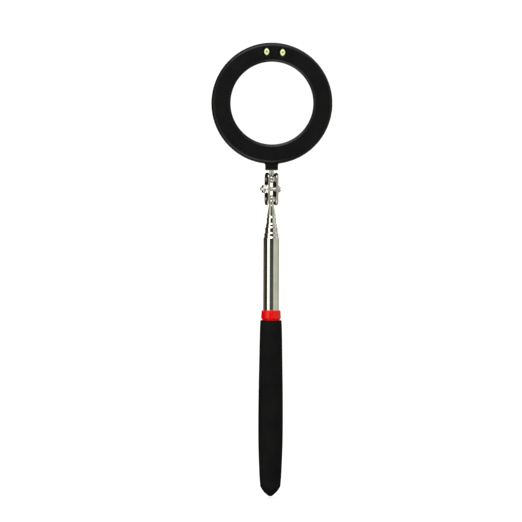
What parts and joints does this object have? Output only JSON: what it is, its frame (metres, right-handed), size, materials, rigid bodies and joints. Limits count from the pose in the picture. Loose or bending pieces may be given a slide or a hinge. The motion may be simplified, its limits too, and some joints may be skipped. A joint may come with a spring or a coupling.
{
  "type": "telescoping inspection mirror",
  "caption": "Round lighted inspection mirror on a telescoping chromed wand, with a double ball clamp behind the head and a soft black grip with a red collar",
  "frame": {"origin": "on the wand's axis, at the middle of the grip's length", "axes": "+Z runs from the handle to the mirror, the mirror faces -Y, and +X is to the right as one looks at the mirror"},
  "size_m": [0.0764, 0.0156, 0.286],
  "materials": {
    "grip_rubber": "soft matte black",
    "red_plastic": "glossy red",
    "black_plastic": "satin black",
    "chrome_tube": "polished plating",
    "plated_steel": "bright plating",
    "plated_plate": "bright plating on pressed sheet",
    "mirror_glass": "silvered glass",
    "foam_pad": "closed foam",
    "board_green": "solder mask",
    "led_lens": "clear lens over a pale chip",
    "cell_steel": "stamped steel",
    "spring_brass": "spring temper",
    "dark_screw": "black zinc",
    "switch_plastic": "moulded black"
  },
  "bodies": {
    "handle": {"handle_grip": "grip_rubber", "grip_collar": "red_plastic", "tube_end_plug": "black_plastic", "outer_tube": "chrome_tube"},
    "section_1": {"tube_section_1": "chrome_tube", "slide_bush_1": "spring_brass"},
    "section_2": {"tube_section_2": "chrome_tube", "slide_bush_2": "spring_brass"},
    "section_3": {"tube_section_3": "chrome_tube", "slide_bush_3": "spring_brass"},
    "section_4": {"tube_section_4": "chrome_tube", "slide_bush_4": "spring_brass"},
    "section_5": {"tube_section_5": "chrome_tube", "slide_bush_5": "spring_brass", "tip_ferrule": "chrome_tube"},
    "tip_stud": {"tip_ball_stud": "plated_steel"},
    "clamp": {"clamp_plate_left": "plated_plate", "clamp_plate_right": "plated_plate", "clamp_nut": "plated_steel"},
    "screw": {"clamp_screw": "plated_steel"},
    "head_stud": {"head_ball_stud": "plated_steel", "stud_nut": "plated_steel"},
    "head": {"front_bezel": "black_plastic", "rear_housing": "black_plastic", "mirror_glass": "mirror_glass", "mirror_pad": "foam_pad", "inner_tray": "black_plastic", "circuit_board": "board_green", "led_left": "led_lens", "led_right": "led_lens", "coin_cell_left": "cell_steel", "coin_cell_right": "cell_steel", "cell_contact_left": "spring_brass", "cell_contact_right": "spring_brass", "housing_screws": "dark_screw", "switch_body": "cell_steel"},
    "switch": {"switch_knob": "switch_plastic"},
    "door": {"battery_door": "black_plastic", "battery_door_screw": "dark_screw", "cell_bridge": "spring_brass"}
  },
  "joints": [
    {"name": "tube_slide_1", "type": "slide", "parent": "handle", "child": "section_1", "axis": [0, 0, 1], "range_m": [0, 0.118]},
    {"name": "tube_slide_2", "type": "slide", "parent": "section_1", "child": "section_2", "axis": [0, 0, 1], "range_m": [0, 0.118]},
    {"name": "tube_slide_3", "type": "slide", "parent": "section_2", "child": "section_3", "axis": [0, 0, 1], "range_m": [0, 0.118]},
    {"name": "tube_slide_4", "type": "slide", "parent": "section_3", "child": "section_4", "axis": [0, 0, 1], "range_m": [0, 0.118]},
    {"name": "tube_slide_5", "type": "slide", "parent": "section_4", "child": "section_5", "axis": [0, 0, 1], "range_m": [0, 0.118]},
    {"name": "tip_swivel", "type": "hinge", "parent": "section_5", "child": "tip_stud", "pos_m": [0, 0, 0.132], "axis": [0, 0, 1], "continuous": true},
    {"name": "clamp_tilt", "type": "hinge", "parent": "tip_stud", "child": "clamp", "pos_m": [0, 0, 0.132], "axis": [0.9563, 0.2924, 0], "range_deg": [-90, 90]},
    {"name": "clamp_screw_turn", "type": "hinge", "parent": "clamp", "child": "screw", "pos_m": [0, 0, 0.13835], "axis": [0.9563, 0.2924, 0], "range_deg": [-180, 30]},
    {"name": "head_tilt", "type": "hinge", "parent": "clamp", "child": "head_stud", "pos_m": [0, 0, 0.1447], "axis": [-0.9563, -0.2924, 0], "range_deg": [-90, 90]},
    {"name": "head_swivel", "type": "hinge", "parent": "head_stud", "child": "head", "pos_m": [0, 0, 0.1447], "axis": [0, 0, 1], "continuous": true},
    {"name": "light_switch", "type": "slide", "parent": "head", "child": "switch", "axis": [1, 0, 0], "range_m": [0, 0.0025]},
    {"name": "battery_door_lift", "type": "slide", "parent": "head", "child": "door", "axis": [0, 1, 0], "range_m": [0, 0.012]}
  ]
}
